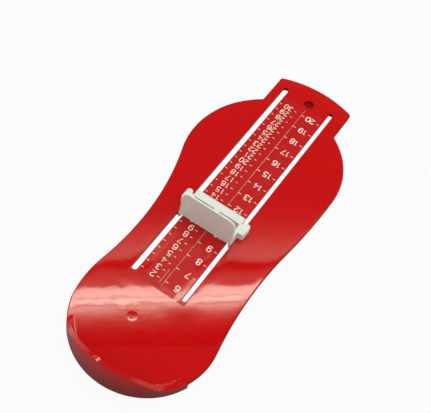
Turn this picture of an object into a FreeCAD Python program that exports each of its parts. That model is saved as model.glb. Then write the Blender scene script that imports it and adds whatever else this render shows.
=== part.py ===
import FreeCAD, Part
import math
import os
import Sketcher
from FreeCAD import Rotation, Vector

# Driving dimensions, in millimetres and degrees. The scale runs along +Y from the heel stop, where it
# reads zero, to the tab at the toe end. X = 0 is midway between the two slots, and Z = 0 is the table.
SIZES = {
    # Sole plate
    "plate_thickness": 2.0,
    "table_gap": 4.0,            # free height under the plate
    "edge_round": 0.5,           # rounding of the plate's upper rim
    # Heel round and its stop wall
    "heel_x": 6.6,
    "heel_round": 38.2,
    "inner_heel": 68.0,          # flatter arc on the heel's inner side
    "inner_heel_start": 6.6,     # where it leaves the heel round, behind the heel's centre
    "heel_wall": 2.0,
    "heel_rise": 15.0,           # wall above the plate, at its highest
    "heel_cove": 2.0,            # inside corner between wall and plate
    "rim_arch": 32.0,            # the rim, seen from behind, is an arc of this radius
    "rim_foot": 8.0,             # and runs out on the plate with this one
    "skirt_angle": 124.0,        # sweep of the wall and of the skirt under it
    "skirt_turn": 5.0,           # turn of its middle to the outer side
    # Waist and ball, inner side (-X) and outer side (+X)
    "inner_waist": 177.0,        # radii of the arcs, and how far the ball reaches to each side
    "inner_ball": 55.1,
    "inner_reach": 41.8,
    "ball_y": 154.0,
    "ball_skew": 5.7,            # the outer ball's centre is this much further on
    "outer_waist": 240.0,
    "outer_side": 360.0,
    "outer_ball": 46.0,
    "outer_reach": 45.7,
    # Tab at the toe end
    "tab_x": 1.15,
    "tab_margin": 2.2,           # from the rail under it to its sides
    "tab_length": 14.2,          # past the ball's inner round
    "tab_end": 60.0,             # radius of its end
    "tab_crest": 2.25,           # the end's crest is this much to the outer side
    "tab_corner": 2.0,
    "neck_corner": 1.5,
    "recess_inset": 13.3,        # from the tab's end
    "recess_width": 5.8,
    "recess_depth": 1.2,
    # Gate mark: a shallow dish in the heel
    "dish_y": 34.0,
    "dish_width": 5.6,
    "dish_depth": 0.7,
    # Slots
    "slot_spacing": 30.5,
    "inner_slot": 3.3,
    "outer_slot": 2.6,
    "slot_start": 56.0,
    "slot_inset": 10.8,          # from the tab's end
    # Rail under the plate, round the slots
    "rail_clearance": 1.8,       # beside the slider's hooks
    "rail_wall": 1.6,
    "rail_heel_gap": 6.0,        # from the slots' heel ends
    "rail_toe_gap": 4.0,         # from their toe ends
    "rail_corner": 5.0,
    # Slider: frame
    "reading": 98.5,             # place of the toe stop's face on the scale
    "lift": 0.2,                 # gap between frame and plate
    "frame_depth": 16.4,
    "frame_height": 4.6,
    "frame_round": 0.6,          # rounding of the frame's upper edges
    "bar_depth": 5.1,            # crossbar at the toe edge
    "web_width": 3.0,            # between the two windows
    "window_edge": 0.8,          # from the windows to the notches
    # Slider: toe stop
    "stop_reach": 0.85,          # past the slots' axes
    "stop_height": 18.8,         # from the frame's underside
    "stop_foot": 1.8,            # thickness at the frame
    "stop_tip": 1.1,             # thickness at the top
    "stop_corner": 4.5,
    "stop_edge": 0.35,           # rounding of its upper edges
    # Slider: wings beside the slots, and the notches between them and the crossbar
    "wing_offset": 1.05,         # from the slots' axes
    "wing_width": 3.5,
    "wing_start": 6.2,
    "wing_inset": 2.1,           # from the toe edge
    "wing_corner": 1.65,
    "notch_width": 1.4,
    "notch_depth": 4.2,
    # Slider: legs and hooks
    "side_play": 0.2,            # between leg and slot
    "hook_play": 0.25,           # between hook and plate
    "leg_thickness": 1.4,
    "leg_start": 0.8,
    "leg_inset": 1.4,            # from the notches
    "hook_length": 3.4,
    "hook_height": 1.5,
    "hook_grip": 0.8,            # reach of a hook under the plate
}

# Heights and places that several features share
PLATE_TOP = "size.table_gap + size.plate_thickness"
RIM_TOP = PLATE_TOP + " + size.heel_rise"
FRAME_UNDERSIDE = PLATE_TOP + " + size.lift"
HEEL_Y = "size.heel_round - size.heel_wall"
OUTER_BALL_Y = "size.ball_y + size.ball_skew"
TAB_END = "size.ball_y + size.inner_ball + size.tab_length"
SLOT_END = TAB_END + " - size.slot_inset"
SLOT_AXIS = "size.slot_spacing / 2"
RAIL_INSIDE = SLOT_AXIS + " + size.inner_slot / 2 + size.hook_grip + size.rail_clearance"
RAIL_OUTSIDE = RAIL_INSIDE + " + size.rail_wall"
TAB_HALF = RAIL_OUTSIDE + " + size.tab_margin"
TAB_CREST_X = "size.tab_x + size.tab_crest"
TAB_ARC_Y = TAB_END + " - size.tab_end"
INNER_CORNER_Y = "%s + sqrt(size.tab_end ^ 2 - (%s + size.tab_crest) ^ 2)" % (TAB_ARC_Y, TAB_HALF)
OUTER_CORNER_Y = "%s + sqrt(size.tab_end ^ 2 - (%s - size.tab_crest) ^ 2)" % (TAB_ARC_Y, TAB_HALF)
STOP_HALF = SLOT_AXIS + " + size.stop_reach"
WING_INSIDE = SLOT_AXIS + " + size.wing_offset"
WING_OUTSIDE = WING_INSIDE + " + size.wing_width"
NOTCH_INSIDE = WING_INSIDE + " - size.notch_width"
NOTCH_START = "size.frame_depth - size.notch_depth"


def sheet_of_sizes(doc):
    """The driving dimensions, one aliased cell each."""
    sheet = doc.addObject("Spreadsheet::Sheet", "size")
    for row, (alias, value) in enumerate(SIZES.items(), start=1):
        sheet.set("A%d" % row, alias)
        sheet.set("B%d" % row, str(value))
        sheet.setAlias("B%d" % row, alias)
    doc.recompute()
    return sheet


def value(expression):
    """What an expression of the sheet's cells comes to."""
    return float(FreeCAD.ActiveDocument.getObject("size").evalExpression(expression))


def sketch_on(body, role, name):
    """A sketch on one of the body's own origin planes."""
    plane = next(feature for feature in body.Origin.OriginFeatures if feature.Role == role)
    sketch = body.newObject("Sketcher::SketchObject", name)
    sketch.AttachmentSupport = [(plane, "")]
    sketch.MapMode = "FlatFace"
    return sketch


def bind(sketch, kind, references, expression):
    """A dimension of a sketch, driven by the sheet."""
    index = sketch.addConstraint(Sketcher.Constraint(kind, *references, value(expression)))
    name = "%s%d" % (kind.lower(), index)
    sketch.renameConstraint(index, name)
    sketch.setExpression("Constraints." + name, expression)


def join(sketch, kind, pairs):
    """Coincident or tangent joints between the ends (1 start, 2 end) of pairs of edges."""
    for first, first_end, second, second_end in pairs:
        sketch.addConstraint(Sketcher.Constraint(kind, first, first_end, second, second_end))


def line(sketch, start, end):
    return sketch.addGeometry(Part.LineSegment(Vector(*start, 0), Vector(*end, 0)))


def arc(sketch, centre, radius, start, end):
    """An arc, anticlockwise from the direction of one point to that of another."""
    angles = [math.atan2(point[1] - centre[1], point[0] - centre[0]) for point in (start, end)]
    circle = Part.Circle(Vector(*centre, 0), Vector(0, 0, 1), radius)
    return sketch.addGeometry(Part.ArcOfCircle(circle, angles[0], angles[1]))


def circle_at(sketch, x, y, radius):
    """A circle whose centre and radius are expressions."""
    circle = sketch.addGeometry(Part.Circle(Vector(value(x), value(y), 0), Vector(0, 0, 1), value(radius)))
    place_point(sketch, circle, 3, x, y)
    bind(sketch, "Radius", (circle,), radius)


def polygon(sketch, corners):
    """A closed outline of straight edges whose corners are pairs of expressions."""
    points = [(value(x), value(y)) for x, y in corners]
    edges = [line(sketch, point, points[place - 1]) for place, point in enumerate(points)]
    join(sketch, "Coincident", [(edge, 2, edges[place - 1], 1) for place, edge in enumerate(edges)])
    for edge, (x, y) in zip(edges, corners):
        place_point(sketch, edge, 1, x, y)


def place_point(sketch, edge, end, x, y):
    """Ties one end of an edge to a place given by two expressions."""
    for kind, expression, axis in (("DistanceX", x, -2), ("DistanceY", y, -1)):
        if value(expression) == 0:
            sketch.addConstraint(Sketcher.Constraint("PointOnObject", edge, end, axis))
        else:
            bind(sketch, kind, (-1, 1, edge, end), expression)


def pad(body, sketch, name, length):
    feature = body.newObject("PartDesign::Pad", name)
    feature.Profile = sketch
    feature.setExpression("Length", length)
    return feature


def raise_sketch(sketch, height):
    """Moves a sketch along its plane's normal."""
    sketch.setExpression("AttachmentOffset.Base.z", height)


def pocket_down(body, sketch, name, depth):
    feature = body.newObject("PartDesign::Pocket", name)
    feature.Profile = sketch
    feature.setExpression("Length", depth)
    return feature


def meeting(first, first_radius, second, second_radius, side):
    """The point at given distances from two centres, right (+1) or left (-1) of the line between them."""
    dx, dy = second[0] - first[0], second[1] - first[1]
    gap = math.hypot(dx, dy)
    along = (first_radius ** 2 - second_radius ** 2 + gap ** 2) / (2 * gap)
    across = side * math.sqrt(first_radius ** 2 - along ** 2)
    return (first[0] + (along * dx + across * dy) / gap, first[1] + (along * dy - across * dx) / gap)


def towards(centre, target, distance):
    """The point at a distance from a centre, on the way to another point."""
    gap = math.dist(centre, target)
    return tuple(c + (t - c) * distance / gap for c, t in zip(centre, target))


def sole_outline(body):
    """The foot shape: heel round, hollow waists, ball of the foot and the square-shouldered tab."""
    sketch = sketch_on(body, "XY_Plane", "SoleOutline")
    heel = (value("size.heel_x"), value(HEEL_Y))
    heel_r, side_r = value("size.heel_round"), value("size.outer_side")
    heel_in_r, drop = value("size.inner_heel"), value("size.inner_heel_start")
    heel_in_end = (heel[0] - math.sqrt(heel_r ** 2 - drop ** 2), heel[1] - drop)
    heel_in = towards(heel_in_end, heel, heel_in_r)
    ball_in_r, ball_out_r = value("size.inner_ball"), value("size.outer_ball")
    waist_in_r, waist_out_r = value("size.inner_waist"), value("size.outer_waist")
    ball_in = (ball_in_r - value("size.inner_reach"), value("size.ball_y"))
    ball_out = (value("size.outer_reach") - ball_out_r, value(OUTER_BALL_Y))
    side = (value("size.outer_reach") - side_r, ball_out[1])
    waist_in = meeting(heel_in, heel_in_r + waist_in_r, ball_in, ball_in_r + waist_in_r, -1)
    waist_out = meeting(heel, heel_r + waist_out_r, side, side_r + waist_out_r, 1)
    tab_left, tab_right = (value("size.tab_x %s (%s)" % (sign, TAB_HALF)) for sign in "-+")
    tab_centre, tab_r = (value(TAB_CREST_X), value(TAB_ARC_Y)), value("size.tab_end")
    corner_left, corner_right = (tab_left, value(INNER_CORNER_Y)), (tab_right, value(OUTER_CORNER_Y))
    neck_left = (tab_left, ball_in[1] + math.sqrt(ball_in_r ** 2 - (tab_left - ball_in[0]) ** 2))
    neck_right = (tab_right, ball_out[1] + math.sqrt(ball_out_r ** 2 - (tab_right - ball_out[0]) ** 2))
    ball_out_start = (value("size.outer_reach"), ball_out[1])
    # In order round the outline, anticlockwise from the heel
    heel_arc = arc(sketch, heel, heel_r, heel_in_end, towards(heel, waist_out, heel_r))
    waist_out_arc = arc(sketch, waist_out, waist_out_r, towards(waist_out, side, waist_out_r),
                        towards(waist_out, heel, waist_out_r))
    side_arc = arc(sketch, side, side_r, towards(side, waist_out, side_r), ball_out_start)
    ball_out_arc = arc(sketch, ball_out, ball_out_r, ball_out_start, neck_right)
    tab_right_line = line(sketch, neck_right, corner_right)
    tab_arc = arc(sketch, tab_centre, tab_r, corner_right, corner_left)
    tab_left_line = line(sketch, corner_left, neck_left)
    ball_in_arc = arc(sketch, ball_in, ball_in_r, neck_left, towards(ball_in, waist_in, ball_in_r))
    waist_in_arc = arc(sketch, waist_in, waist_in_r, towards(waist_in, heel_in, waist_in_r),
                       towards(waist_in, ball_in, waist_in_r))
    heel_in_arc = arc(sketch, heel_in, heel_in_r, towards(heel_in, waist_in, heel_in_r), heel_in_end)
    join(sketch, "Tangent", [(heel_arc, 2, waist_out_arc, 2), (waist_out_arc, 1, side_arc, 1),
                             (side_arc, 2, ball_out_arc, 1), (ball_in_arc, 2, waist_in_arc, 2),
                             (waist_in_arc, 1, heel_in_arc, 1), (heel_in_arc, 2, heel_arc, 1)])
    join(sketch, "Coincident", [(ball_out_arc, 2, tab_right_line, 1), (tab_right_line, 2, tab_arc, 1),
                                (tab_arc, 2, tab_left_line, 1), (tab_left_line, 2, ball_in_arc, 1)])
    for edge in (tab_right_line, tab_left_line):
        sketch.addConstraint(Sketcher.Constraint("Vertical", edge))
    for edge, name in ((heel_arc, "heel_round"), (waist_out_arc, "outer_waist"), (side_arc, "outer_side"),
                       (ball_out_arc, "outer_ball"), (tab_arc, "tab_end"), (ball_in_arc, "inner_ball"),
                       (waist_in_arc, "inner_waist"), (heel_in_arc, "inner_heel")):
        bind(sketch, "Radius", (edge,), "size." + name)
    place_point(sketch, heel_arc, 3, "size.heel_x", HEEL_Y)
    bind(sketch, "DistanceY", (-1, 1, heel_arc, 1), HEEL_Y + " - size.inner_heel_start")
    place_point(sketch, ball_out_arc, 3, "size.outer_reach - size.outer_ball", OUTER_BALL_Y)
    bind(sketch, "DistanceY", (-1, 1, side_arc, 2), OUTER_BALL_Y)
    place_point(sketch, ball_in_arc, 3, "size.inner_ball - size.inner_reach", "size.ball_y")
    place_point(sketch, tab_arc, 3, TAB_CREST_X, TAB_ARC_Y)
    bind(sketch, "DistanceX", (-1, 1, tab_right_line, 1), "size.tab_x + %s" % TAB_HALF)
    bind(sketch, "DistanceX", (-1, 1, tab_left_line, 1), "size.tab_x - (%s)" % TAB_HALF)
    raise_sketch(sketch, "size.table_gap")
    return sketch


def round_slot(sketch, x, start, end, width):
    """A round-ended slot along Y."""
    radius, centre_x = value(width) / 2, value(x)
    low, high = value(start) + radius, value(end) - radius
    left_x, right_x = centre_x - radius, centre_x + radius
    right_line = line(sketch, (right_x, low), (right_x, high))
    far_arc = arc(sketch, (centre_x, high), radius, (right_x, high), (left_x, high))
    left_line = line(sketch, (left_x, high), (left_x, low))
    near_arc = arc(sketch, (centre_x, low), radius, (left_x, low), (right_x, low))
    join(sketch, "Tangent", [(right_line, 2, far_arc, 1), (far_arc, 2, left_line, 1),
                             (left_line, 2, near_arc, 1), (near_arc, 2, right_line, 1)])
    for edge in (right_line, left_line):
        sketch.addConstraint(Sketcher.Constraint("Vertical", edge))
    bind(sketch, "Radius", (far_arc,), "(%s) / 2" % width)
    place_point(sketch, far_arc, 3, x, "%s - (%s) / 2" % (end, width))
    bind(sketch, "DistanceY", (-1, 1, near_arc, 3), "%s + (%s) / 2" % (start, width))


def rounded_rectangle(sketch, half_width, start, end, radius):
    """A rectangle about the Y axis with round corners, given by expressions."""
    x, low, high, r = value(half_width), value(start), value(end), value(radius)
    corners = ((x, low, -90, 0), (x, high, 0, 90), (-x, high, 90, 180), (-x, low, 180, 270))
    arcs = []
    for corner_x, corner_y, first, last in corners:
        centre = Vector(corner_x - math.copysign(r, corner_x), corner_y + (r if corner_y == low else -r), 0)
        circle = Part.Circle(centre, Vector(0, 0, 1), r)
        arcs.append(sketch.addGeometry(Part.ArcOfCircle(circle, math.radians(first), math.radians(last))))
    sides = []
    for place, edge in enumerate(arcs):
        following = arcs[(place + 1) % 4]
        start_point = sketch.Geometry[edge].EndPoint
        end_point = sketch.Geometry[following].StartPoint
        sides.append(sketch.addGeometry(Part.LineSegment(start_point, end_point)))
        join(sketch, "Tangent", [(edge, 2, sides[-1], 1), (sides[-1], 2, following, 1)])
        bind(sketch, "Radius", (edge,), radius)
    for edge, kind in zip(sides, ("Vertical", "Horizontal", "Vertical", "Horizontal")):
        sketch.addConstraint(Sketcher.Constraint(kind, edge))
    inset = "%s - (%s)" % (half_width, radius)
    place_point(sketch, arcs[1], 3, inset, "%s - (%s)" % (end, radius))
    place_point(sketch, arcs[3], 3, "-(%s)" % inset, "%s + (%s)" % (start, radius))


def edges_where(shape, test):
    """Names of a shape's edges that pass a test."""
    return ["Edge%d" % (place + 1) for place, edge in enumerate(shape.Edges) if test(edge)]


def fillet(body, name, base, test, radius):
    """Rounds the edges of a feature that pass a test."""
    feature = body.newObject("PartDesign::Fillet", name)
    feature.Base = (base, edges_where(base.Shape, test))
    feature.setExpression("Radius", radius)
    return feature


def lies_at(edge, z):
    return abs(edge.BoundBox.ZMin - z) < 1e-4 and abs(edge.BoundBox.ZMax - z) < 1e-4


def stands(edge):
    return edge.BoundBox.XLength < 1e-4 and edge.BoundBox.YLength < 1e-4


def heel_wall(body):
    """The heel stop and its skirt: a section of the wall, swept about the heel's centre."""
    sketch = sketch_on(body, "YZ_Plane", "HeelSection")
    turn = Rotation(Vector(0, 1, 0), value("size.skirt_turn"))
    sketch.AttachmentOffset = FreeCAD.Placement(Vector(0, 0, 0), turn)
    sketch.setExpression("AttachmentOffset.Base.x", HEEL_Y)
    sketch.setExpression("AttachmentOffset.Base.z", "size.heel_x")
    sketch.setExpression("AttachmentOffset.Rotation.Angle", "size.skirt_turn")
    outside = "-size.heel_round"
    inside = "-(size.heel_round - size.heel_wall)"
    cove_end = "-(size.heel_round - size.heel_wall - size.heel_cove)"
    cove_top = "%s + size.heel_cove" % PLATE_TOP
    corners = [(outside, "0"), (outside, RIM_TOP), (inside, RIM_TOP), (inside, cove_top),
               (cove_end, PLATE_TOP), (cove_end, "size.table_gap"), (inside, "size.table_gap"), (inside, "0")]
    points = [(value(x), value(y)) for x, y in corners]
    cove = 3
    edges = []
    for place, point in enumerate(points):
        following = points[(place + 1) % len(points)]
        if place == cove:
            centre = (points[cove + 1][0], points[cove][1])
            edges.append(arc(sketch, centre, value("size.heel_cove"), point, following))
        else:
            edges.append(line(sketch, point, following))
    join(sketch, "Coincident", [(edges[place - 1], 2, edge, 1) for place, edge in enumerate(edges)])
    for edge, (x, y) in zip(edges, corners):
        place_point(sketch, edge, 1, x, y)
    bind(sketch, "Radius", (edges[cove],), "size.heel_cove")
    wall = body.newObject("PartDesign::Revolution", "HeelWall")
    wall.Profile = sketch
    wall.ReferenceAxis = (sketch, ["V_Axis"])
    wall.Midplane = True
    wall.setExpression("Angle", "size.skirt_angle")
    return wall


def rim_cut(body):
    """Trims the wall, seen from behind, to a flat arch that runs out on the plate."""
    sketch = sketch_on(body, "XZ_Plane", "RimArch")
    arch_r, foot_r = value("size.rim_arch"), value("size.rim_foot")
    floor, top = value(PLATE_TOP), value(RIM_TOP)
    middle = value("size.heel_x")
    arch = (middle, top - arch_r)
    foot_rise = floor + foot_r - arch[1]
    foot_run = math.sqrt((arch_r + foot_r) ** 2 - foot_rise ** 2)
    feet = [(middle + side * foot_run, floor + foot_r) for side in (1, -1)]
    reach = value("size.heel_round + size.heel_wall")
    above = top + value("size.heel_wall")
    arch_arc = arc(sketch, arch, arch_r, feet[0], feet[1])
    foot_left = arc(sketch, feet[1], foot_r, (feet[1][0], floor), arch)
    foot_right = arc(sketch, feet[0], foot_r, arch, (feet[0][0], floor))
    floor_right = line(sketch, (feet[0][0], floor), (middle + reach, floor))
    side_right = line(sketch, (middle + reach, floor), (middle + reach, above))
    lid = line(sketch, (middle + reach, above), (middle - reach, above))
    side_left = line(sketch, (middle - reach, above), (middle - reach, floor))
    floor_left = line(sketch, (middle - reach, floor), (feet[1][0], floor))
    join(sketch, "Tangent", [(floor_left, 2, foot_left, 1), (foot_left, 2, arch_arc, 2),
                             (arch_arc, 1, foot_right, 1), (foot_right, 2, floor_right, 1)])
    join(sketch, "Coincident", [(floor_right, 2, side_right, 1), (side_right, 2, lid, 1),
                                (lid, 2, side_left, 1), (side_left, 2, floor_left, 1)])
    for edge in (side_right, side_left):
        sketch.addConstraint(Sketcher.Constraint("Vertical", edge))
    for edge in (lid, floor_left, floor_right):
        sketch.addConstraint(Sketcher.Constraint("Horizontal", edge))
    bind(sketch, "Radius", (arch_arc,), "size.rim_arch")
    bind(sketch, "Radius", (foot_left,), "size.rim_foot")
    bind(sketch, "Radius", (foot_right,), "size.rim_foot")
    place_point(sketch, arch_arc, 3, "size.heel_x", "%s - size.rim_arch" % RIM_TOP)
    place_point(sketch, side_right, 1, "size.heel_x + size.heel_round + size.heel_wall", PLATE_TOP)
    place_point(sketch, side_left, 2, "size.heel_x - size.heel_round - size.heel_wall", PLATE_TOP)
    bind(sketch, "DistanceY", (-1, 1, side_left, 1), "%s + size.heel_wall" % RIM_TOP)
    cut = body.newObject("PartDesign::Pocket", "RimCut")
    cut.Profile = sketch
    cut.Type = "ThroughAll"
    cut.Midplane = True
    return cut


def gate_mark(body):
    """A shallow round dish in the heel, part of a sphere."""
    sketch = sketch_on(body, "YZ_Plane", "DishSection")
    sketch.setExpression("AttachmentOffset.Base.x", "size.dish_y")
    sphere = "(size.dish_width ^ 2 / 4 + size.dish_depth ^ 2) / (2 * size.dish_depth)"
    centre = "%s + %s - size.dish_depth" % (PLATE_TOP, sphere)
    top, sphere_r, half = value(PLATE_TOP), value(sphere), value("size.dish_width / 2")
    bottom = (0, top - value("size.dish_depth"))
    dish_arc = arc(sketch, (0, value(centre)), sphere_r, bottom, (half, top))
    lid = line(sketch, (half, top), (0, top))
    axis = line(sketch, (0, top), bottom)
    join(sketch, "Coincident", [(dish_arc, 2, lid, 1), (lid, 2, axis, 1), (axis, 2, dish_arc, 1)])
    sketch.addConstraint(Sketcher.Constraint("Horizontal", lid))
    sketch.addConstraint(Sketcher.Constraint("Vertical", axis))
    bind(sketch, "Radius", (dish_arc,), sphere)
    place_point(sketch, dish_arc, 3, "0", centre)
    place_point(sketch, axis, 1, "0", PLATE_TOP)
    dish = body.newObject("PartDesign::Groove", "GateMark")
    dish.Profile = sketch
    dish.ReferenceAxis = (sketch, ["V_Axis"])
    return dish


def foot_plate(doc):
    """The red moulding: sole, heel stop, slots, tab, and the rail and skirt that it stands on."""
    body = doc.addObject("PartDesign::Body", "foot_plate")
    body.Label = "foot_plate"
    sole = pad(body, sole_outline(body), "Sole", "size.plate_thickness")
    doc.recompute()
    tab_x, tab_half = value("size.tab_x"), value(TAB_HALF)
    lower_corner_y = min(value(INNER_CORNER_Y), value(OUTER_CORNER_Y))

    def beside_tab(edge):
        return stands(edge) and math.isclose(abs(edge.BoundBox.XMin - tab_x), tab_half, abs_tol=1e-4)

    neck = fillet(body, "NeckCorners", sole,
                  lambda edge: beside_tab(edge) and edge.BoundBox.YMin < lower_corner_y - 1e-3,
                  "size.neck_corner")
    doc.recompute()
    tab_corners = fillet(body, "TabCorners", neck,
                         lambda edge: beside_tab(edge) and edge.BoundBox.YMin > lower_corner_y - 1e-3,
                         "size.tab_corner")
    doc.recompute()
    fillet(body, "UpperEdge", tab_corners, lambda edge: lies_at(edge, value(PLATE_TOP)), "size.edge_round")
    doc.recompute()
    heel_wall(body)
    doc.recompute()
    rim_cut(body)
    doc.recompute()

    slots = sketch_on(body, "XY_Plane", "SlotOutlines")
    round_slot(slots, "-" + SLOT_AXIS, "size.slot_start", SLOT_END, "size.inner_slot")
    round_slot(slots, SLOT_AXIS, "size.slot_start", SLOT_END, "size.outer_slot")
    raise_sketch(slots, PLATE_TOP)
    pocket_down(body, slots, "Slots", "size.plate_thickness")

    recess = sketch_on(body, "XY_Plane", "RecessOutline")
    circle_at(recess, "size.tab_x", TAB_END + " - size.recess_inset", "size.recess_width / 2")
    raise_sketch(recess, PLATE_TOP)
    pocket_down(body, recess, "TabRecess", "size.recess_depth")

    gate_mark(body)

    rail = sketch_on(body, "XY_Plane", "RailOutline")
    start, end = "size.slot_start - size.rail_heel_gap", SLOT_END + " + size.rail_toe_gap"
    rounded_rectangle(rail, RAIL_OUTSIDE, start + " - size.rail_wall", end + " + size.rail_wall",
                      "size.rail_corner + size.rail_wall")
    rounded_rectangle(rail, RAIL_INSIDE, start, end, "size.rail_corner")
    pad(body, rail, "Rail", "size.table_gap")
    return body


def frame_outline(body):
    """The slider's frame from above: the stop's foot, a wing on each side, and a crossbar behind notches."""
    sketch = sketch_on(body, "XY_Plane", "FrameOutline")
    wing_end = "size.frame_depth - size.wing_inset"
    half = [(STOP_HALF, "0"), (STOP_HALF, "size.wing_start"), (WING_OUTSIDE, "size.wing_start"),
            (WING_OUTSIDE, wing_end), (WING_INSIDE, wing_end), (WING_INSIDE, NOTCH_START),
            (NOTCH_INSIDE, NOTCH_START), (NOTCH_INSIDE, "size.frame_depth")]
    polygon(sketch, half + [("-(%s)" % x, y) for x, y in reversed(half)])
    return sketch


def windows(body):
    """The two openings of the frame, either side of its web."""
    sketch = sketch_on(body, "XY_Plane", "WindowOutlines")
    near, far = "size.stop_foot", "size.frame_depth - size.bar_depth"
    for side in (-1, 1):
        inside = "%d * size.web_width / 2" % side
        outside = "%d * (%s - size.window_edge)" % (side, NOTCH_INSIDE)
        polygon(sketch, [(inside, near), (outside, near), (outside, far), (inside, far)])
    raise_sketch(sketch, "size.frame_height")
    pocket_down(body, sketch, "Windows", "size.frame_height")


def toe_stop(body):
    """The wall that the toe touches: upright in front, drafted behind, with round upper corners."""
    sketch = sketch_on(body, "YZ_Plane", "StopSection")
    polygon(sketch, [("0", "0"), ("size.stop_foot", "0"), ("size.stop_tip", "size.stop_height"),
                     ("0", "size.stop_height")])
    wall = pad(body, sketch, "StopWall", "2 * (%s)" % STOP_HALF)
    wall.Midplane = True
    FreeCAD.ActiveDocument.recompute()
    top = value("size.stop_height")
    corners = fillet(body, "StopCorners", wall,
                     lambda edge: lies_at(edge, top) and edge.BoundBox.XLength < 1e-4, "size.stop_corner")
    FreeCAD.ActiveDocument.recompute()
    fillet(body, "StopEdges", corners, lambda edge: lies_at(edge, top), "size.stop_edge")


def legs(body):
    """A fin through each slot, against its outer side, with a hook that reaches under the plate."""
    fins = sketch_on(body, "XZ_Plane", "LegSection")
    hooks = sketch_on(body, "XZ_Plane", "HookSection")
    ledge = "-(size.lift + size.plate_thickness + size.hook_play)"
    foot = ledge + " - size.hook_height"
    for side, slot in ((-1, "size.inner_slot"), (1, "size.outer_slot")):
        edge = "%s + %s / 2" % (SLOT_AXIS, slot)
        outside = "%d * (%s - size.side_play)" % (side, edge)
        inside = "%d * (%s - size.side_play - size.leg_thickness)" % (side, edge)
        tip = "%d * (%s + size.hook_grip)" % (side, edge)
        polygon(fins, [(outside, "0"), (outside, foot), (inside, foot), (inside, "0")])
        # Below its tip the hook slopes at 45 degrees, to lead it into the slot
        polygon(hooks, [(inside, ledge), (tip, ledge), (tip, foot + " + size.hook_grip + size.side_play"),
                        (outside, foot), (inside, foot)])
    for sketch, name, length in ((fins, "Legs", NOTCH_START + " - size.leg_inset - size.leg_start"),
                                 (hooks, "Hooks", "size.hook_length")):
        raise_sketch(sketch, "-size.leg_start")
        pad(body, sketch, name, length).Reversed = True


def slider(doc):
    """The white moulding that slides along the slots, its front face at Y = 0, its underside at Z = 0."""
    body = doc.addObject("PartDesign::Body", "slider")
    body.Label = "slider"
    frame = pad(body, frame_outline(body), "Frame", "size.frame_height")
    doc.recompute()
    wing, notch = value(WING_INSIDE), value(NOTCH_START)
    wing_ends = fillet(body, "WingEnds", frame,
                       lambda edge: stands(edge) and abs(edge.BoundBox.XMin) > wing - 1e-4
                       and not math.isclose(edge.BoundBox.YMin, notch), "size.wing_corner")
    doc.recompute()
    fillet(body, "FrameEdges", wing_ends, lambda edge: lies_at(edge, value("size.frame_height")),
           "size.frame_round")
    windows(body)
    toe_stop(body)
    legs(body)
    return body


def main():
    doc = FreeCAD.newDocument("foot_measure")
    sheet_of_sizes(doc)
    plate, stop = foot_plate(doc), slider(doc)
    # The middle of the plate's outline is the origin
    middle_x, middle_y = "(size.outer_reach - size.inner_reach) / 2", "(%s - size.heel_wall) / 2" % TAB_END
    for body in (plate, stop):
        body.setExpression("Placement.Base.x", "-" + middle_x)
    plate.setExpression("Placement.Base.y", "-" + middle_y)
    stop.setExpression("Placement.Base.y", "size.reading - " + middle_y)
    stop.setExpression("Placement.Base.z", FRAME_UNDERSIDE)
    doc.recompute()
    for item in doc.Objects:
        if "Invalid" in item.State or "Error" in item.State:
            raise RuntimeError("%s does not compute: %s" % (item.Name, item.State))
    for body in (plate, stop):
        if body.Shape.isNull() or not body.Shape.isValid():
            raise RuntimeError("%s has no valid shape" % body.Label)
    os.makedirs("parts", exist_ok=True)
    for body in (plate, stop):
        body.Shape.exportStep("parts/%s.step" % body.Label)


main()
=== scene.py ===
import math

import bmesh
import bpy
from mathutils import Matrix, Vector


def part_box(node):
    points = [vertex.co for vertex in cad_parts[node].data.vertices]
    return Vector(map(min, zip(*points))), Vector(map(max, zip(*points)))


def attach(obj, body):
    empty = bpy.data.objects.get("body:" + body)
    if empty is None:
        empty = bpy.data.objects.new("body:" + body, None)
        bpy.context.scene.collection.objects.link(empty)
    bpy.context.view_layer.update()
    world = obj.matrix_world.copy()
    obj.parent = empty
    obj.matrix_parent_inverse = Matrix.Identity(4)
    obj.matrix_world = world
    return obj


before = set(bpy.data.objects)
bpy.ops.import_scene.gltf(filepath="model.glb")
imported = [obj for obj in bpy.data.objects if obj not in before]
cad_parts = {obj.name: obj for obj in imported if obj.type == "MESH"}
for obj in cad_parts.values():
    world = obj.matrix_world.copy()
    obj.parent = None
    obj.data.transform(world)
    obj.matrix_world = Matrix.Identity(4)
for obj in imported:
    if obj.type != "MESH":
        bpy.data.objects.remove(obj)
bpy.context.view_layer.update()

MM = 0.001
PLATE_TOP = 6.0 * MM          # height of the plate's upper face above the table
READING = 98.5 * MM           # where the toe stop stands on the scale

# The slider is centred on the scale's axis, and its heel side is the reading
slider_low, slider_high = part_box("slider")
AXIS_X = (slider_low.x + slider_high.x) / 2
ZERO_Y = slider_low.y - READING

# Places on the plate in millimetres: x from the scale's axis to the outer side, y along the scale
SLOT_X = 15.25                # the slots' middles, one to each side
SWELL_Y = 55.0                # just before the slots' heel ends
SWELL_REACH = 13.0
DISH_Y = 34.0                 # the gate's dish
DISH_REACH = 3.0              # just past its rim
FLOW_REACH = 28.0             # of the flow lines, from the gate
RECESS_X, RECESS_Y = 1.15, 210.0
RECESS_REACH = 3.0            # just past its rim
FIELD_MIDDLE_Y = 129.9        # the scale's matt field
FIELD_HALF_WIDTH = 17.2       # just past both slots
FIELD_HALF_LENGTH = 76.2      # from before their heel ends to just short of the recess
STRIP_X, STRIP_SHIFT = 11.35, 0.45    # rubbed strips, with middles 11.8 mm out and 10.9 mm in

ABS_IOR = 1.54


# ---------------------------------------------------------------- materials

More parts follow.
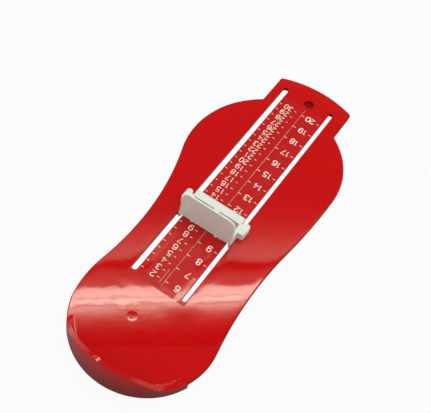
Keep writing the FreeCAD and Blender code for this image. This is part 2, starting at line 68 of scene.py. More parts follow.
def colour(code):
    """Linear colour of an sRGB hex value."""
    channels = [int(code[start:start + 2], 16) / 255 for start in (1, 3, 5)]
    linear = [channel / 12.92 if channel <= 0.04045 else ((channel + 0.055) / 1.055) ** 2.4
              for channel in channels]
    return (*linear, 1.0)


def add(tree, kind, settings=None, **links):
    """Adds a node. Settings are its own properties. Links give its inputs values or sockets, by name, or by
    number where several inputs share a name: i0 is the first."""
    node = tree.nodes.new(kind)
    for name, setting in (settings or {}).items():
        setattr(node, name, setting)
    for name, given in links.items():
        numbered = name[0] == "i" and name[1:].isdigit()
        socket = node.inputs[int(name[1:]) if numbered else name.replace("_", " ")]
        if isinstance(given, bpy.types.NodeSocket):
            tree.links.new(given, socket)
        else:
            socket.default_value = given
    return node


def new_material(name):
    """An empty node material, with its tree and its output."""
    material = bpy.data.materials.new(name)
    material.use_nodes = True
    tree = material.node_tree
    tree.nodes.clear()
    return material, tree, tree.nodes.new("ShaderNodeOutputMaterial")


def offset_from(tree, place, x, y):
    """Position on the plate, measured from a place on the scale in millimetres, with no height."""
    point = (AXIS_X + x * MM, ZERO_Y + y * MM, 0)
    flattened = add(tree, "ShaderNodeVectorMath", {"operation": "MULTIPLY"}, i0=place, i1=(1, 1, 0))
    offset = add(tree, "ShaderNodeVectorMath", {"operation": "SUBTRACT"}, i0=flattened.outputs[0], i1=point)
    return offset.outputs[0]


def field_texture(tree, place, from_middle, reach):
    """How much of the scale's field is matt: all of it, less where the slider has rubbed its heel end
    smooth, a little all over and most in two ragged strips beside the slots."""
    within = add(tree, "ShaderNodeMath", {"operation": "LESS_THAN"}, i0=reach.outputs["X"],
                 i1=FIELD_HALF_WIDTH * MM)
    along = add(tree, "ShaderNodeMath", {"operation": "LESS_THAN"}, i0=reach.outputs["Y"],
                i1=FIELD_HALF_LENGTH * MM)
    field = add(tree, "ShaderNodeMath", {"operation": "MULTIPLY"}, i0=within.outputs[0],
                i1=along.outputs[0])
    signed = add(tree, "ShaderNodeSeparateXYZ", Vector=from_middle)
    shifted = add(tree, "ShaderNodeMath", {"operation": "SUBTRACT"}, i0=signed.outputs["X"],
                  i1=STRIP_SHIFT * MM)
    outwards = add(tree, "ShaderNodeMath", {"operation": "ABSOLUTE"}, i0=shifted.outputs[0])
    strip = add(tree, "ShaderNodeMath", {"operation": "SUBTRACT"}, i0=outwards.outputs[0],
                i1=STRIP_X * MM)
    from_strip = add(tree, "ShaderNodeMath", {"operation": "ABSOLUTE"}, i0=strip.outputs[0])
    # Noise of 4 mm makes the strips' edges wander, over 9 mm along the slots and 3 mm across. They lie
    # about 1.7 mm to each side of the strips' middles
    squeezed = add(tree, "ShaderNodeVectorMath", {"operation": "MULTIPLY"}, i0=place, i1=(3, 1, 1))
    patches = add(tree, "ShaderNodeTexNoise", Vector=squeezed.outputs[0], Scale=1 / (9 * MM), Detail=2.0)
    ragged = add(tree, "ShaderNodeMath", {"operation": "MULTIPLY_ADD"}, i0=patches.outputs["Fac"],
                 i1=4 * MM, i2=from_strip.outputs[0])
    rubbed = add(tree, "ShaderNodeMapRange", {"interpolation_type": "SMOOTHSTEP"},
                 Value=ragged.outputs[0], From_Min=4.1 * MM, From_Max=3.2 * MM, To_Min=0.12, To_Max=0.85)
    # The wear runs out from 44 to 36 mm before the field's middle
    heel_end = add(tree, "ShaderNodeMapRange", Value=signed.outputs["Y"], From_Min=-36 * MM,
                   From_Max=-44 * MM)
    worn = add(tree, "ShaderNodeMath", {"operation": "MULTIPLY"}, i0=rubbed.outputs[0],
               i1=heel_end.outputs[0])
    return add(tree, "ShaderNodeMath", {"operation": "SUBTRACT"}, i0=field.outputs[0], i1=worn.outputs[0])


def plate_edges(tree, height, facing, side, in_dish):
    """1 on the sides, on the underside and on the plate's rounded edges, which are tilted, no higher than
    its upper face and not in the gate's dish. 0 on the rest."""
    tilted = add(tree, "ShaderNodeMath", {"operation": "LESS_THAN"}, i0=facing, i1=0.985)
    low = add(tree, "ShaderNodeMath", {"operation": "LESS_THAN"}, i0=height, i1=PLATE_TOP + 0.05 * MM)
    tilted_low = add(tree, "ShaderNodeMath", {"operation": "MULTIPLY"}, i0=tilted.outputs[0],
                     i1=low.outputs[0])
    rounded = add(tree, "ShaderNodeMath", {"operation": "SUBTRACT", "use_clamp": True},
                  i0=tilted_low.outputs[0], i1=in_dish.outputs[0])
    return add(tree, "ShaderNodeMath", {"operation": "MAXIMUM"}, i0=rounded.outputs[0], i1=side.outputs[0])


def polished_skin(tree, place, from_gate, gate_gap, in_dish):
    """Gloss. The pigment varies a little over 30 mm, the polish is wavy over 14 mm, and the melt leaves
    flow lines near the gate."""
    drift = add(tree, "ShaderNodeTexNoise", Vector=place, Scale=1 / (30 * MM), Detail=2.0)
    red = add(tree, "ShaderNodeMix", {"data_type": "RGBA"}, Factor=drift.outputs["Fac"],
              i6=colour("#BF0A0C"), i7=colour("#C50C0E"))
    # The faces are a little crowned towards their edges
    flat = add(tree, "ShaderNodeNewGeometry").outputs["Normal"]
    edge_pull = add(tree, "ShaderNodeBevel", {"samples": 6}, Radius=6 * MM)
    crown = add(tree, "ShaderNodeMix", {"data_type": "VECTOR"}, i0=0.012, i4=flat, i5=edge_pull.outputs[0])
    # The polish levels the gate's dish, so that its slopes mirror what the plate beside them mirrors
    levelled = add(tree, "ShaderNodeMath", {"operation": "MULTIPLY"}, i0=in_dish.outputs[0], i1=0.955)
    smoothed = add(tree, "ShaderNodeMix", {"data_type": "VECTOR"}, i0=levelled.outputs[0],
                   i4=crown.outputs[1], i5=(0, 0, 1))
    # The skin swells a little round the outer slot's heel end, where the mould's core drags on it
    slot_gap = add(tree, "ShaderNodeVectorMath", {"operation": "LENGTH"},
                   i0=offset_from(tree, place, SLOT_X, SWELL_Y))
    swell = add(tree, "ShaderNodeMapRange", {"interpolation_type": "SMOOTHSTEP"},
                Value=slot_gap.outputs["Value"], From_Max=SWELL_REACH * MM, To_Min=1.0, To_Max=0.0)
    swollen = add(tree, "ShaderNodeBump", Distance=0.04 * MM, Height=swell.outputs[0],
                  Normal=smoothed.outputs[1])
    wave = add(tree, "ShaderNodeTexNoise", Vector=place, Scale=1 / (14 * MM), Detail=2.5)
    polish = add(tree, "ShaderNodeBump", Distance=0.018 * MM, Height=wave.outputs["Fac"],
                 Normal=swollen.outputs[0])
    near_gate = add(tree, "ShaderNodeMapRange", {"interpolation_type": "SMOOTHSTEP"},
                    Value=gate_gap.outputs["Value"], From_Min=DISH_REACH * MM, From_Max=FLOW_REACH * MM,
                    To_Min=1.0, To_Max=0.0)
    flow = add(tree, "ShaderNodeTexNoise", Vector=from_gate, Scale=1 / (9 * MM), Detail=2.0,
               Distortion=1.2)
    flow_lines = add(tree, "ShaderNodeBump", Strength=near_gate.outputs[0], Distance=0.012 * MM,
                     Height=flow.outputs["Fac"], Normal=polish.outputs[0])
    return add(tree, "ShaderNodeBsdfPrincipled", Base_Color=red.outputs[2], Roughness=0.025, IOR=ABS_IOR,
               Normal=flow_lines.outputs[0])


def eroded_skins(tree, place, height, edge, slot_wall, recess):
    """Matt, for the edges, the underside and the recess, and satin, for the scale's field, which is eroded
    more finely and blurs what it mirrors. The grain scatters light. It is drawn 0.35 mm wide, coarser than
    a spark leaves it, so that it shows."""
    grain = add(tree, "ShaderNodeTexNoise", Vector=place, Scale=1 / (0.35 * MM), Detail=3.0)
    texture = add(tree, "ShaderNodeBump", Distance=0.02 * MM, Height=grain.outputs["Fac"])
    red = add(tree, "ShaderNodeMix", {"data_type": "RGBA"}, Factor=grain.outputs["Fac"],
              i6=colour("#AE0A0D"), i7=colour("#BC0F13"))
    # Painted shade darkens the sides, the underside and the plate's rounded edges, more of it lower down,
    # and the slots' walls most
    shade_by_height = add(tree, "ShaderNodeMapRange", Value=height, From_Min=16 * MM, From_Max=4 * MM, To_Max=0.75)
    painted_shade = add(tree, "ShaderNodeMath", {"operation": "MULTIPLY"}, i0=shade_by_height.outputs[0], i1=edge.outputs[0])
    shaded_sides = add(tree, "ShaderNodeMix", {"data_type": "RGBA"}, Factor=painted_shade.outputs[0],
                 i6=red.outputs[2], i7=colour("#5A1414"))
    # Painted shade makes the slots' walls darkest
    shaded_slot_walls = add(tree, "ShaderNodeMix", {"data_type": "RGBA"}, Factor=slot_wall.outputs[0],
                i6=shaded_sides.outputs[2], i7=colour("#600C0A"))
    # Painted shade makes the recess a deeper red
    shaded_recess = add(tree, "ShaderNodeMix", {"data_type": "RGBA"}, Factor=recess.outputs[0],
                   i6=shaded_slot_walls.outputs[2], i7=colour("#920808"))
    matt = add(tree, "ShaderNodeBsdfPrincipled", Base_Color=shaded_recess.outputs[2], Roughness=0.5, IOR=ABS_IOR,
               Specular_IOR_Level=0.08, Normal=texture.outputs[0])
    satin = add(tree, "ShaderNodeBsdfPrincipled", Base_Color=red.outputs[2], Roughness=0.3, IOR=ABS_IOR,
                Specular_IOR_Level=0.25, Normal=texture.outputs[0])
    return matt, satin


def gloss_red_abs():
    """ABS moulded against polished steel: saturated red under sharp, slightly wavy reflections. The scale's
    field, the recess in the tab, the edges and the underside are spark-eroded, which looks matt."""
    material, tree, output = new_material("gloss_red_abs")
    place = add(tree, "ShaderNodeTexCoord").outputs["Object"]
    height = add(tree, "ShaderNodeSeparateXYZ", Vector=place).outputs["Z"]
    true_normal = add(tree, "ShaderNodeNewGeometry").outputs["True Normal"]
    facing = add(tree, "ShaderNodeSeparateXYZ", Vector=true_normal).outputs["Z"]
    side = add(tree, "ShaderNodeMath", {"operation": "LESS_THAN"}, i0=facing, i1=0.3)

    from_middle = offset_from(tree, place, 0, FIELD_MIDDLE_Y)
    unsigned = add(tree, "ShaderNodeVectorMath", {"operation": "ABSOLUTE"}, i0=from_middle)
    reach = add(tree, "ShaderNodeSeparateXYZ", Vector=unsigned.outputs[0])
    textured = field_texture(tree, place, from_middle, reach)

    recess_gap = add(tree, "ShaderNodeVectorMath", {"operation": "LENGTH"},
                     i0=offset_from(tree, place, RECESS_X, RECESS_Y))
    recess = add(tree, "ShaderNodeMath", {"operation": "LESS_THAN"}, i0=recess_gap.outputs["Value"],
                 i1=RECESS_REACH * MM)
    from_gate = offset_from(tree, place, 0, DISH_Y)
    gate_gap = add(tree, "ShaderNodeVectorMath", {"operation": "LENGTH"}, i0=from_gate)
    in_dish = add(tree, "ShaderNodeMath", {"operation": "LESS_THAN"}, i0=gate_gap.outputs["Value"],
                  i1=DISH_REACH * MM)
    edge = plate_edges(tree, height, facing, side, in_dish)

    # The slots' walls are the sides within 2.2 mm of a slot's middle and 83 mm of the field's middle
    beside = add(tree, "ShaderNodeMath", {"operation": "COMPARE"}, i0=reach.outputs["X"], i1=SLOT_X * MM,
                 i2=2.2 * MM)
    ahead = add(tree, "ShaderNodeMath", {"operation": "LESS_THAN"}, i0=reach.outputs["Y"], i1=83 * MM)
    slot = add(tree, "ShaderNodeMath", {"operation": "MULTIPLY"}, i0=beside.outputs[0], i1=ahead.outputs[0])
    slot_wall = add(tree, "ShaderNodeMath", {"operation": "MULTIPLY"}, i0=slot.outputs[0],
                    i1=side.outputs[0])

    gloss = polished_skin(tree, place, from_gate, gate_gap, in_dish)
    matt, satin = eroded_skins(tree, place, height, edge, slot_wall, recess)
    coarse = add(tree, "ShaderNodeMath", {"operation": "MAXIMUM"}, i0=recess.outputs[0], i1=edge.outputs[0])
    fine = add(tree, "ShaderNodeMath", {"operation": "SUBTRACT", "use_clamp": True},
               i0=textured.outputs[0], i1=edge.outputs[0])
    body = add(tree, "ShaderNodeMixShader", i0=coarse.outputs[0], i1=gloss.outputs[0], i2=matt.outputs[0])
    skin = add(tree, "ShaderNodeMixShader", i0=fine.outputs[0], i1=body.outputs[0], i2=satin.outputs[0])
    tree.links.new(skin.outputs[0], output.inputs[0])
    return material


def satin_white_abs():
    """ABS moulded in a plainer tool: warm white, a satin skin with faint grain, drawn 0.5 mm wide so that
    it shows."""
    material, tree, output = new_material("satin_white_abs")
    place = add(tree, "ShaderNodeTexCoord").outputs["Object"]
    drift = add(tree, "ShaderNodeTexNoise", Vector=place, Scale=1 / (9 * MM), Detail=2.0)
    shade = add(tree, "ShaderNodeMix", {"data_type": "RGBA"}, Factor=drift.outputs["Fac"],
                i6=colour("#DBDCDA"), i7=colour("#E1E2E0"))
    grain = add(tree, "ShaderNodeTexNoise", Vector=place, Scale=1 / (0.5 * MM), Detail=2.0)
    skin = add(tree, "ShaderNodeBump", Strength=0.3, Distance=0.01 * MM, Height=grain.outputs["Fac"])
    rough = add(tree, "ShaderNodeMapRange", Value=grain.outputs["Fac"], To_Min=0.28, To_Max=0.4)
    shader = add(tree, "ShaderNodeBsdfPrincipled", Base_Color=shade.outputs[2],
                 Roughness=rough.outputs[0], IOR=ABS_IOR, Normal=skin.outputs[0])
    tree.links.new(shader.outputs[0], output.inputs[0])
    return material


def pad_printed_white_ink():
    """Opaque white pad-printing ink: matt, a little uneven where the red shows through."""
    material, tree, output = new_material("pad_printed_white_ink")
    place = add(tree, "ShaderNodeTexCoord").outputs["Object"]
    cover = add(tree, "ShaderNodeTexNoise", Vector=place, Scale=1 / (0.8 * MM), Detail=3.0)
    shade = add(tree, "ShaderNodeMix", {"data_type": "RGBA"}, Factor=cover.outputs["Fac"],
                i6=colour("#F6E2D8"), i7=colour("#FDF6EE"))
    shader = add(tree, "ShaderNodeBsdfPrincipled", Base_Color=shade.outputs[2], Roughness=0.5, IOR=1.5)
    tree.links.new(shader.outputs[0], output.inputs[0])
    return material


def torn_red_abs():
    """ABS where the sprue was twisted off: paler stress marks on a torn, rough face."""
    material, tree, output = new_material("torn_red_abs")
    place = add(tree, "ShaderNodeTexCoord").outputs["Object"]
    tear = add(tree, "ShaderNodeTexNoise", Vector=place, Scale=1 / (0.3 * MM), Detail=3.0)
    shade = add(tree, "ShaderNodeMix", {"data_type": "RGBA"}, Factor=tear.outputs["Fac"],
                i6=colour("#8A1014"), i7=colour("#B04A48"))
    relief = add(tree, "ShaderNodeBump", Distance=0.08 * MM, Height=tear.outputs["Fac"])
    shader = add(tree, "ShaderNodeBsdfPrincipled", Base_Color=shade.outputs[2], Roughness=0.55, IOR=ABS_IOR,
                 Normal=relief.outputs[0])
    tree.links.new(shader.outputs[0], output.inputs[0])
    return material


for node, material in (("foot_plate", gloss_red_abs()), ("slider", satin_white_abs())):
    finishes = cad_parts[node].data.materials
    finishes.clear()
    finishes.append(material)


# ---------------------------------------------------------------- printed scale

# Strokes of each figure in a box one wide and one high. A stroke is a row of points (x, y) and arcs
# (centre x, centre y, half width, half height, first angle, last angle), with angles in degrees
FIGURES = {
    "0": [[(0.5, 0.64, 0.42, 0.36, 180, 0), (0.5, 0.36, 0.42, 0.36, 0, -180), (0.08, 0.64)]],
    "1": [[(0.5, 0.0), (0.5, 1.0), (0.2, 0.8)]],
    "2": [[(0.5, 0.7, 0.42, 0.3, 165, -35), (0.05, 0.0), (0.95, 0.0)]],
    "3": [[(0.48, 0.75, 0.38, 0.25, 155, -90), (0.48, 0.25, 0.44, 0.25, 90, -155)]],
    "4": [[(0.72, 0.0), (0.72, 1.0), (0.05, 0.3), (0.98, 0.3)]],
    "5": [[(0.88, 1.0), (0.18, 1.0), (0.47, 0.32, 0.45, 0.32, 130, -150)]],
    "6": [[(0.52, 0.66, 0.44, 0.34, 35, 180), (0.5, 0.31, 0.42, 0.31, 180, 540)]],
    "7": [[(0.05, 1.0), (0.92, 1.0), (0.32, 0.0)]],
    "8": [[(0.5, 0.75, 0.36, 0.25, -90, 270)], [(0.5, 0.26, 0.42, 0.26, 90, 450)]],
}
# A nine is a six turned half round
FIGURES["9"] = [[(1 - arc[0], 1 - arc[1], *arc[2:4], *(angle + 180 for angle in arc[4:]))
                 for arc in stroke] for stroke in FIGURES["6"]]
ARC_STEP = 20                 # degrees between the points of an arc
INK = pad_printed_white_ink()
INK_HEIGHT = 0.05 * MM


def stroke_points(stroke):
    """The points of a stroke, with its arcs drawn out."""
    points = []
    for mark in stroke:
        if len(mark) == 2:
            points.append(mark)
            continue
        x, y, half_width, half_height, first, last = mark
        steps = max(2, round(abs(last - first) / ARC_STEP))
        for step in range(steps + 1):
            angle = math.radians(first + (last - first) * step / steps)
            points.append((x + half_width * math.cos(angle), y + half_height * math.sin(angle)))
    return points


def number_strokes(number, places, y, width, height):
    """A number on the scale, each figure centred on its own place across the scale. It is read from the toe
    end, so up is towards the heel."""
    strokes = []
    for x, figure in zip(places, str(number)):
        for stroke in FIGURES[figure]:
            strokes.append([(x - (across - 0.5) * width, y - (upwards - 0.5) * height)
                            for across, upwards in stroke_points(stroke)])
    return strokes


def figure_places(number, left_edge, narrow, wide):
    """Where the figures of a number stand across the scale, ranged left. A leading 1 is narrow."""
    text = str(number)
    if len(text) == 1:
        return [left_edge - wide / 2]
    first = narrow if text[0] == "1" else wide
    return [left_edge - first / 2, left_edge - first - wide / 2]


def printed(name, strokes, line_width):
    """Ink strokes on the plate: tubes pressed to flat round-edged lines. Strokes and line width are in
    millimetres, placed on the scale."""
    curve = bpy.data.curves.new(name, "CURVE")
    curve.dimensions = "3D"
    curve.bevel_depth = line_width * MM / 2
    curve.bevel_resolution = 1
    curve.use_fill_caps = True
    for stroke in strokes:
        spline = curve.splines.new("POLY")
        spline.points.add(len(stroke) - 1)
        for point, (x, y) in zip(spline.points, stroke):
            point.co = (AXIS_X + x * MM, ZERO_Y + y * MM, 0, 1)
    tubes = bpy.data.objects.new(name + "_curve", curve)
    bpy.context.scene.collection.objects.link(tubes)
    bpy.context.view_layer.update()
    mesh = bpy.data.meshes.new_from_object(tubes.evaluated_get(bpy.context.evaluated_depsgraph_get()))
    bpy.data.objects.remove(tubes)
    flatten = Matrix.Diagonal((1, 1, 2 * INK_HEIGHT / (line_width * MM), 1))
    mesh.transform(Matrix.Translation((0, 0, PLATE_TOP)) @ flatten)
    mesh.materials.clear()
    mesh.materials.append(INK)
    piece = bpy.data.objects.new(name, mesh)
    bpy.context.scene.collection.objects.link(piece)
    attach(piece, "gauge")


# The numbers and where each stands along the scale, in millimetres
CENTIMETRES = {number: 10 * number for number in range(6, 21)}
SHOE_SIZES = {number: 5 * number + 50 for number in range(2, 31)}

# Across the scale: the numbers' left edge, the room for a leading 1 and for any other figure, and the width
# and height of a figure
CENTIMETRE_EDGE = 10.35
CENTIMETRE_ROOMS = (1.9, 2.75)
CENTIMETRE_FIGURE = (2.65, 3.5)
SIZE_EDGE = -4.4
SIZE_ROOMS = (2.2, 2.75)
SIZE_FIGURE = (2.25, 3.3)
LONE_SIZE_FIGURE = (2.6, 3.3)         # of a size below 10

# Start and end of the ticks in each column
CENTIMETRE_TICKS = ((11.8, 13.4), (1.7, 3.6))
SIZE_TICKS = ((-12.95, -11.65), (-3.15, -1.85))

# A long hairline, and a short one beside its heel end
HAIRLINES = ([(1.6, 56.5), (1.6, 205.0)], [(-0.4, 57.5), (-0.4, 67.0)])


def print_scale():
    """Centimetres to the outer side, shoe sizes to the inner side, their ticks, and the hairlines."""
    centimetres = []
    for number, y in CENTIMETRES.items():
        places = figure_places(number, CENTIMETRE_EDGE, *CENTIMETRE_ROOMS)
        centimetres += number_strokes(number, places, y, *CENTIMETRE_FIGURE)
    printed("centimetre_numbers", centimetres, line_width=0.62)

    shoe_sizes = []
    for number, y in SHOE_SIZES.items():
        places = figure_places(number, SIZE_EDGE, *SIZE_ROOMS)
        figure = SIZE_FIGURE if number > 9 else LONE_SIZE_FIGURE
        shoe_sizes += number_strokes(number, places, y, *figure)
    printed("size_numbers", shoe_sizes, line_width=0.5)

    ticks = [[(start, y), (end, y)] for start, end in SIZE_TICKS for y in SHOE_SIZES.values()]
    ticks += [[(start, y), (end, y)] for start, end in CENTIMETRE_TICKS for y in CENTIMETRES.values()]
    printed("scale_ticks", ticks, line_width=0.34)
    printed("centre_line", HAIRLINES, line_width=0.1)


print_scale()


# ---------------------------------------------------------------- gate vestige

# In millimetres
VESTIGE_Y = 33.0              # a little to the heel's side of the dish's middle
# Radius and height above the table, from the foot in the dish to the middle of the top
VESTIGE_PROFILE = [(0.62, 5.3), (0.55, 5.5), (0.42, 5.62), (0.38, 5.78), (0.3, 5.84), (0.0, 5.8)]
# How far each point of a ring round the torn top is above the profile, and where that top starts
VESTIGE_CHIPS = (0.0, 0.04, -0.05, 0.03, -0.02, 0.05, -0.04, 0.02, -0.03, 0.04, -0.01, -0.04)
TORN_ABOVE = 5.6


def gate_vestige():
    """The sprue's stub in the gate's dish, a turned shape with a chipped top."""
    count = len(VESTIGE_CHIPS)
    middle_y = ZERO_Y + VESTIGE_Y * MM
    mesh = bmesh.new()
    rings = []
    for radius, height in VESTIGE_PROFILE[:-1]:
        ring = []
        for turn, chip in enumerate(VESTIGE_CHIPS):
            angle = 2 * math.pi * turn / count
            chipped = height + (chip if height > TORN_ABOVE else 0)
            ring.append(mesh.verts.new((AXIS_X + radius * MM * math.cos(angle),
                                        middle_y + radius * MM * math.sin(angle), chipped * MM)))
        rings.append(ring)
    top = mesh.verts.new((AXIS_X, middle_y, VESTIGE_PROFILE[-1][1] * MM))
    for lower, upper in zip(rings, rings[1:]):
        for turn in range(count):
            after = (turn + 1) % count
            mesh.faces.new((lower[turn], lower[after], upper[after], upper[turn]))
    for turn in range(count):
        mesh.faces.new((rings[-1][turn], rings[-1][(turn + 1) % count], top))
    mesh.faces.new(rings[0][::-1])
    data = bpy.data.meshes.new("gate_vestige")
    mesh.to_mesh(data)
    mesh.free()
    data.materials.append(torn_red_abs())
    piece = bpy.data.objects.new("gate_vestige", data)
    bpy.context.scene.collection.objects.link(piece)
    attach(piece, "gauge")


gate_vestige()


# ---------------------------------------------------------------- camera

IMAGE_WIDTH, IMAGE_HEIGHT = 431, 413
FOCAL_PIXELS = 1000
SENSOR = 36.0                 # width in millimetres
# Round the plate from its heel towards the outer side, above it, and round the line of sight
AZIMUTH, ELEVATION, ROLL = (math.radians(angle) for angle in (19.823, 54.178, 15.788))
DISTANCE = 530.787 * MM
TARGET = Vector((AXIS_X - 3.003 * MM, ZERO_Y + 114.384 * MM, PLATE_TOP))

back = Vector((math.sin(AZIMUTH) * math.cos(ELEVATION), -math.cos(AZIMUTH) * math.cos(ELEVATION),
               math.sin(ELEVATION)))
level_right = Vector((0, 0, 1)).cross(back).normalized()
level_up = back.cross(level_right)
right = math.cos(ROLL) * level_right + math.sin(ROLL) * level_up
up = -math.sin(ROLL) * level_right + math.cos(ROLL) * level_up
eye = TARGET + back * DISTANCE

camera_data = bpy.data.cameras.new("camera")
camera_data.sensor_width = SENSOR
camera_data.lens = SENSOR * FOCAL_PIXELS / IMAGE_WIDTH
camera_data.clip_start = 0.01
camera_data.clip_end = 50
camera = bpy.data.objects.new("camera", camera_data)
camera.matrix_world = Matrix.Translation(eye) @ Matrix((right, up, back)).transposed().to_4x4()
bpy.context.scene.collection.objects.link(camera)
bpy.context.scene.camera = camera


# ---------------------------------------------------------------- floor and window

FLOOR_HALF = 4.0              # metres
PLAIN_SHARE = 0.94            # how much of the floor's white takes no shadow

# The window stands where the plate's upper face mirrors it to the camera, between two image rows and two
# image columns
WINDOW_TOP_ROW, WINDOW_BOTTOM_ROW = 190, 345
WINDOW_LEFT_COLUMN, WINDOW_RIGHT_COLUMN = -100, 600
WINDOW_BAR_ROW = 285          # lower edge of the glazing bar
WINDOW_TURN = math.radians(-0.5)
WINDOW_DEPTH = 1.5            # of its mirror image, in metres in front of the camera
WINDOW_HEIGHT = (WINDOW_BOTTOM_ROW - WINDOW_TOP_ROW) / FOCAL_PIXELS * WINDOW_DEPTH
WINDOW_WIDTH = (WINDOW_RIGHT_COLUMN - WINDOW_LEFT_COLUMN) / FOCAL_PIXELS * WINDOW_DEPTH
DAYLIGHT = colour("#FFFBE8")
WINDOW_STRENGTH = 12.5
# Image row and share of the strength: the bright lower pane with two thin bars, the glazing bar, and the
# dim upper pane
WINDOW_PROFILE = [(345, 0.0), (335, 0.004), (326, 0.018), (320, 0.052), (314, 0.136), (308, 0.376),
                  (305, 0.576), (304.8, 0.5), (304.2, 0.26), (302.8, 0.26), (302.2, 0.7), (299.5, 1.0),
                  (297.4, 0.96), (296.8, 0.46), (295.6, 0.46), (295.0, 0.8), (288, 0.72), (286, 0.62),
                  (284.5, 0.08), (276, 0.06), (269, 0.024), (265, 0.0), (259.5, 0.008), (258, 0.096),
                  (252, 0.12), (240, 0.08), (225, 0.036), (210, 0.016), (190, 0.008)]
# The panes narrow to one side: they are squeezed towards the glazing bar's lower edge, not at all this far
# to one side of the window's middle and by this factor as far to the other side, and on at that rate
SQUEEZE_REACH = 0.15
SQUEEZE = 1.2


def flat_sheet(name, half_width, half_height, material):
    """A flat rectangle round its own origin."""
    corners = [(x * half_width, y * half_height, 0) for x, y in ((-1, -1), (1, -1), (1, 1), (-1, 1))]
    mesh = bpy.data.meshes.new(name)
    mesh.from_pydata(corners, [], [(0, 1, 2, 3)])
    mesh.materials.append(material)
    sheet = bpy.data.objects.new(name, mesh)
    bpy.context.scene.collection.objects.link(sheet)
    return sheet


def white_paper():
    """White paper. Where it is seen, mirrored or shone through it is mostly plain white, and the rest of
    it keeps a faint shadow."""
    material, tree, output = new_material("white_paper")
    rays = add(tree, "ShaderNodeLightPath")
    paper = add(tree, "ShaderNodeBsdfDiffuse", Color=colour("#A8A8A8"))
    glow = add(tree, "ShaderNodeEmission", Strength=1.0)
    mirrored_rays = add(tree, "ShaderNodeMath", {"operation": "ADD"}, i0=rays.outputs["Is Glossy Ray"],
                        i1=rays.outputs["Is Transmission Ray"])
    seen = add(tree, "ShaderNodeMath", {"operation": "ADD", "use_clamp": True},
               i0=rays.outputs["Is Camera Ray"], i1=mirrored_rays.outputs[0])
    share = add(tree, "ShaderNodeMath", {"operation": "MULTIPLY"}, i0=seen.outputs[0], i1=PLAIN_SHARE)
    mixed = add(tree, "ShaderNodeMixShader", i0=share.outputs[0], i1=paper.outputs[0], i2=glow.outputs[0])
    tree.links.new(mixed.outputs[0], output.inputs[0])
    return material


def window_panes():
    """Daylight through glass: a dim upper pane, a dark glazing bar and a bright lower pane, softer
    downwards."""
    material, tree, output = new_material("window_panes")
    place = add(tree, "ShaderNodeTexCoord").outputs["Object"]
    across = add(tree, "ShaderNodeSeparateXYZ", Vector=place)
    share = add(tree, "ShaderNodeMapRange", {"clamp": False}, Value=across.outputs["Y"],
                From_Min=-WINDOW_HEIGHT / 2, From_Max=WINDOW_HEIGHT / 2)
    bar = (WINDOW_BOTTOM_ROW - WINDOW_BAR_ROW) / (WINDOW_BOTTOM_ROW - WINDOW_TOP_ROW)
    below = add(tree, "ShaderNodeMath", {"operation": "SUBTRACT"}, i0=share.outputs[0], i1=bar)
    squeeze = add(tree, "ShaderNodeMapRange", {"clamp": False}, Value=across.outputs["X"],
                  From_Min=-SQUEEZE_REACH, From_Max=SQUEEZE_REACH, To_Min=1.0, To_Max=SQUEEZE)
    squeezed = add(tree, "ShaderNodeMath", {"operation": "MULTIPLY"}, i0=below.outputs[0],
                   i1=squeeze.outputs[0])
    row_share = add(tree, "ShaderNodeMath", {"operation": "ADD"}, i0=squeezed.outputs[0], i1=bar)
    panes = add(tree, "ShaderNodeValToRGB", Fac=row_share.outputs[0])
    ramp = panes.color_ramp
    ramp.elements.remove(ramp.elements[1])
    for order, (row, strength) in enumerate(WINDOW_PROFILE):
        stop = (WINDOW_BOTTOM_ROW - row) / (WINDOW_BOTTOM_ROW - WINDOW_TOP_ROW)
        pane_edge = ramp.elements.new(stop) if order else ramp.elements[0]
        pane_edge.color = (strength * DAYLIGHT[0], strength * DAYLIGHT[1], strength * DAYLIGHT[2], 1)
    glow = add(tree, "ShaderNodeEmission", Color=panes.outputs[0], Strength=WINDOW_STRENGTH)
    tree.links.new(glow.outputs[0], output.inputs[0])
    return material


def mirrored(vector):
    """A direction as the plate's upper face mirrors it."""
    return Vector((vector.x, vector.y, -vector.z))


def window():
    """Hangs the window where the gloss mirrors it. The camera doesn't see it otherwise."""
    across = ((WINDOW_LEFT_COLUMN + WINDOW_RIGHT_COLUMN - IMAGE_WIDTH) / 2) / FOCAL_PIXELS * WINDOW_DEPTH
    rise = -((WINDOW_TOP_ROW + WINDOW_BOTTOM_ROW - IMAGE_HEIGHT) / 2) / FOCAL_PIXELS * WINDOW_DEPTH
    virtual = eye - back * WINDOW_DEPTH + right * across + up * rise
    centre_point = Vector((virtual.x, virtual.y, 2 * PLATE_TOP - virtual.z))
    x_axis = mirrored(math.cos(WINDOW_TURN) * right - math.sin(WINDOW_TURN) * up)
    y_axis = mirrored(math.sin(WINDOW_TURN) * right + math.cos(WINDOW_TURN) * up)
    axes = Matrix((x_axis, y_axis, x_axis.cross(y_axis))).transposed().to_4x4()
    panel = flat_sheet("window", WINDOW_WIDTH / 2, WINDOW_HEIGHT / 2, window_panes())
    panel.matrix_world = Matrix.Translation(centre_point) @ axes
    panel.visible_camera = False
    panel.visible_shadow = False


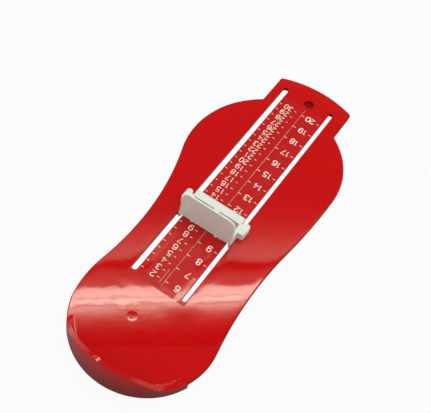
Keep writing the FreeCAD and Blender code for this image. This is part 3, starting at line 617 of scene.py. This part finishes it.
floor = flat_sheet("floor", FLOOR_HALF, FLOOR_HALF, white_paper())
window()


# ---------------------------------------------------------------- room and lamps

# The sweep fades to the dim room between these angles above the horizon
FADE_START, FADE_END = math.radians(28), math.radians(50)
SWEEP_STRENGTH, DIM_STRENGTH = 0.82, 0.1


def room():
    """A white paper sweep round the horizon and a dim room above it."""
    world = bpy.data.worlds.new("room")
    world.use_nodes = True
    tree = world.node_tree
    tree.nodes.clear()
    direction = add(tree, "ShaderNodeTexCoord").outputs["Generated"]
    height = add(tree, "ShaderNodeSeparateXYZ", Vector=direction).outputs["Z"]
    level = add(tree, "ShaderNodeMapRange", {"interpolation_type": "SMOOTHSTEP"}, Value=height,
                From_Min=math.sin(FADE_START), From_Max=math.sin(FADE_END), To_Min=SWEEP_STRENGTH,
                To_Max=DIM_STRENGTH)
    sky = add(tree, "ShaderNodeBackground", Color=colour("#F0FAE9"), Strength=level.outputs[0])
    output = add(tree, "ShaderNodeOutputWorld")
    tree.links.new(sky.outputs[0], output.inputs[0])
    bpy.context.scene.world = world


def softbox(name, direction, distance, size, power, in_gloss):
    """A square soft lamp in a direction from the origin, under the plate's middle, and facing it. The
    gloss mirrors it or not. Distance and size are in metres, power in watts."""
    lamp_data = bpy.data.lights.new(name, "AREA")
    lamp_data.size = size
    lamp_data.energy = power
    lamp = bpy.data.objects.new(name, lamp_data)
    aim = Vector(direction).normalized()
    lamp.location = aim * distance
    lamp.rotation_mode = "QUATERNION"
    lamp.rotation_quaternion = aim.to_track_quat("Z", "Y")
    lamp.visible_camera = False
    lamp.visible_glossy = in_gloss
    bpy.context.scene.collection.objects.link(lamp)


room()
softbox("right_softbox", (0.75, 0.32, 0.75), distance=1.1, size=0.8, power=4.0, in_gloss=False)
softbox("left_softbox", (-0.75, 0.28, 0.75), distance=1.1, size=0.8, power=4.0, in_gloss=False)
softbox("overhead_softbox", (-0.05, -0.3, 1.0), distance=1.9, size=2.2, power=14.8, in_gloss=True)

bpy.context.scene.view_settings.view_transform = "Standard"
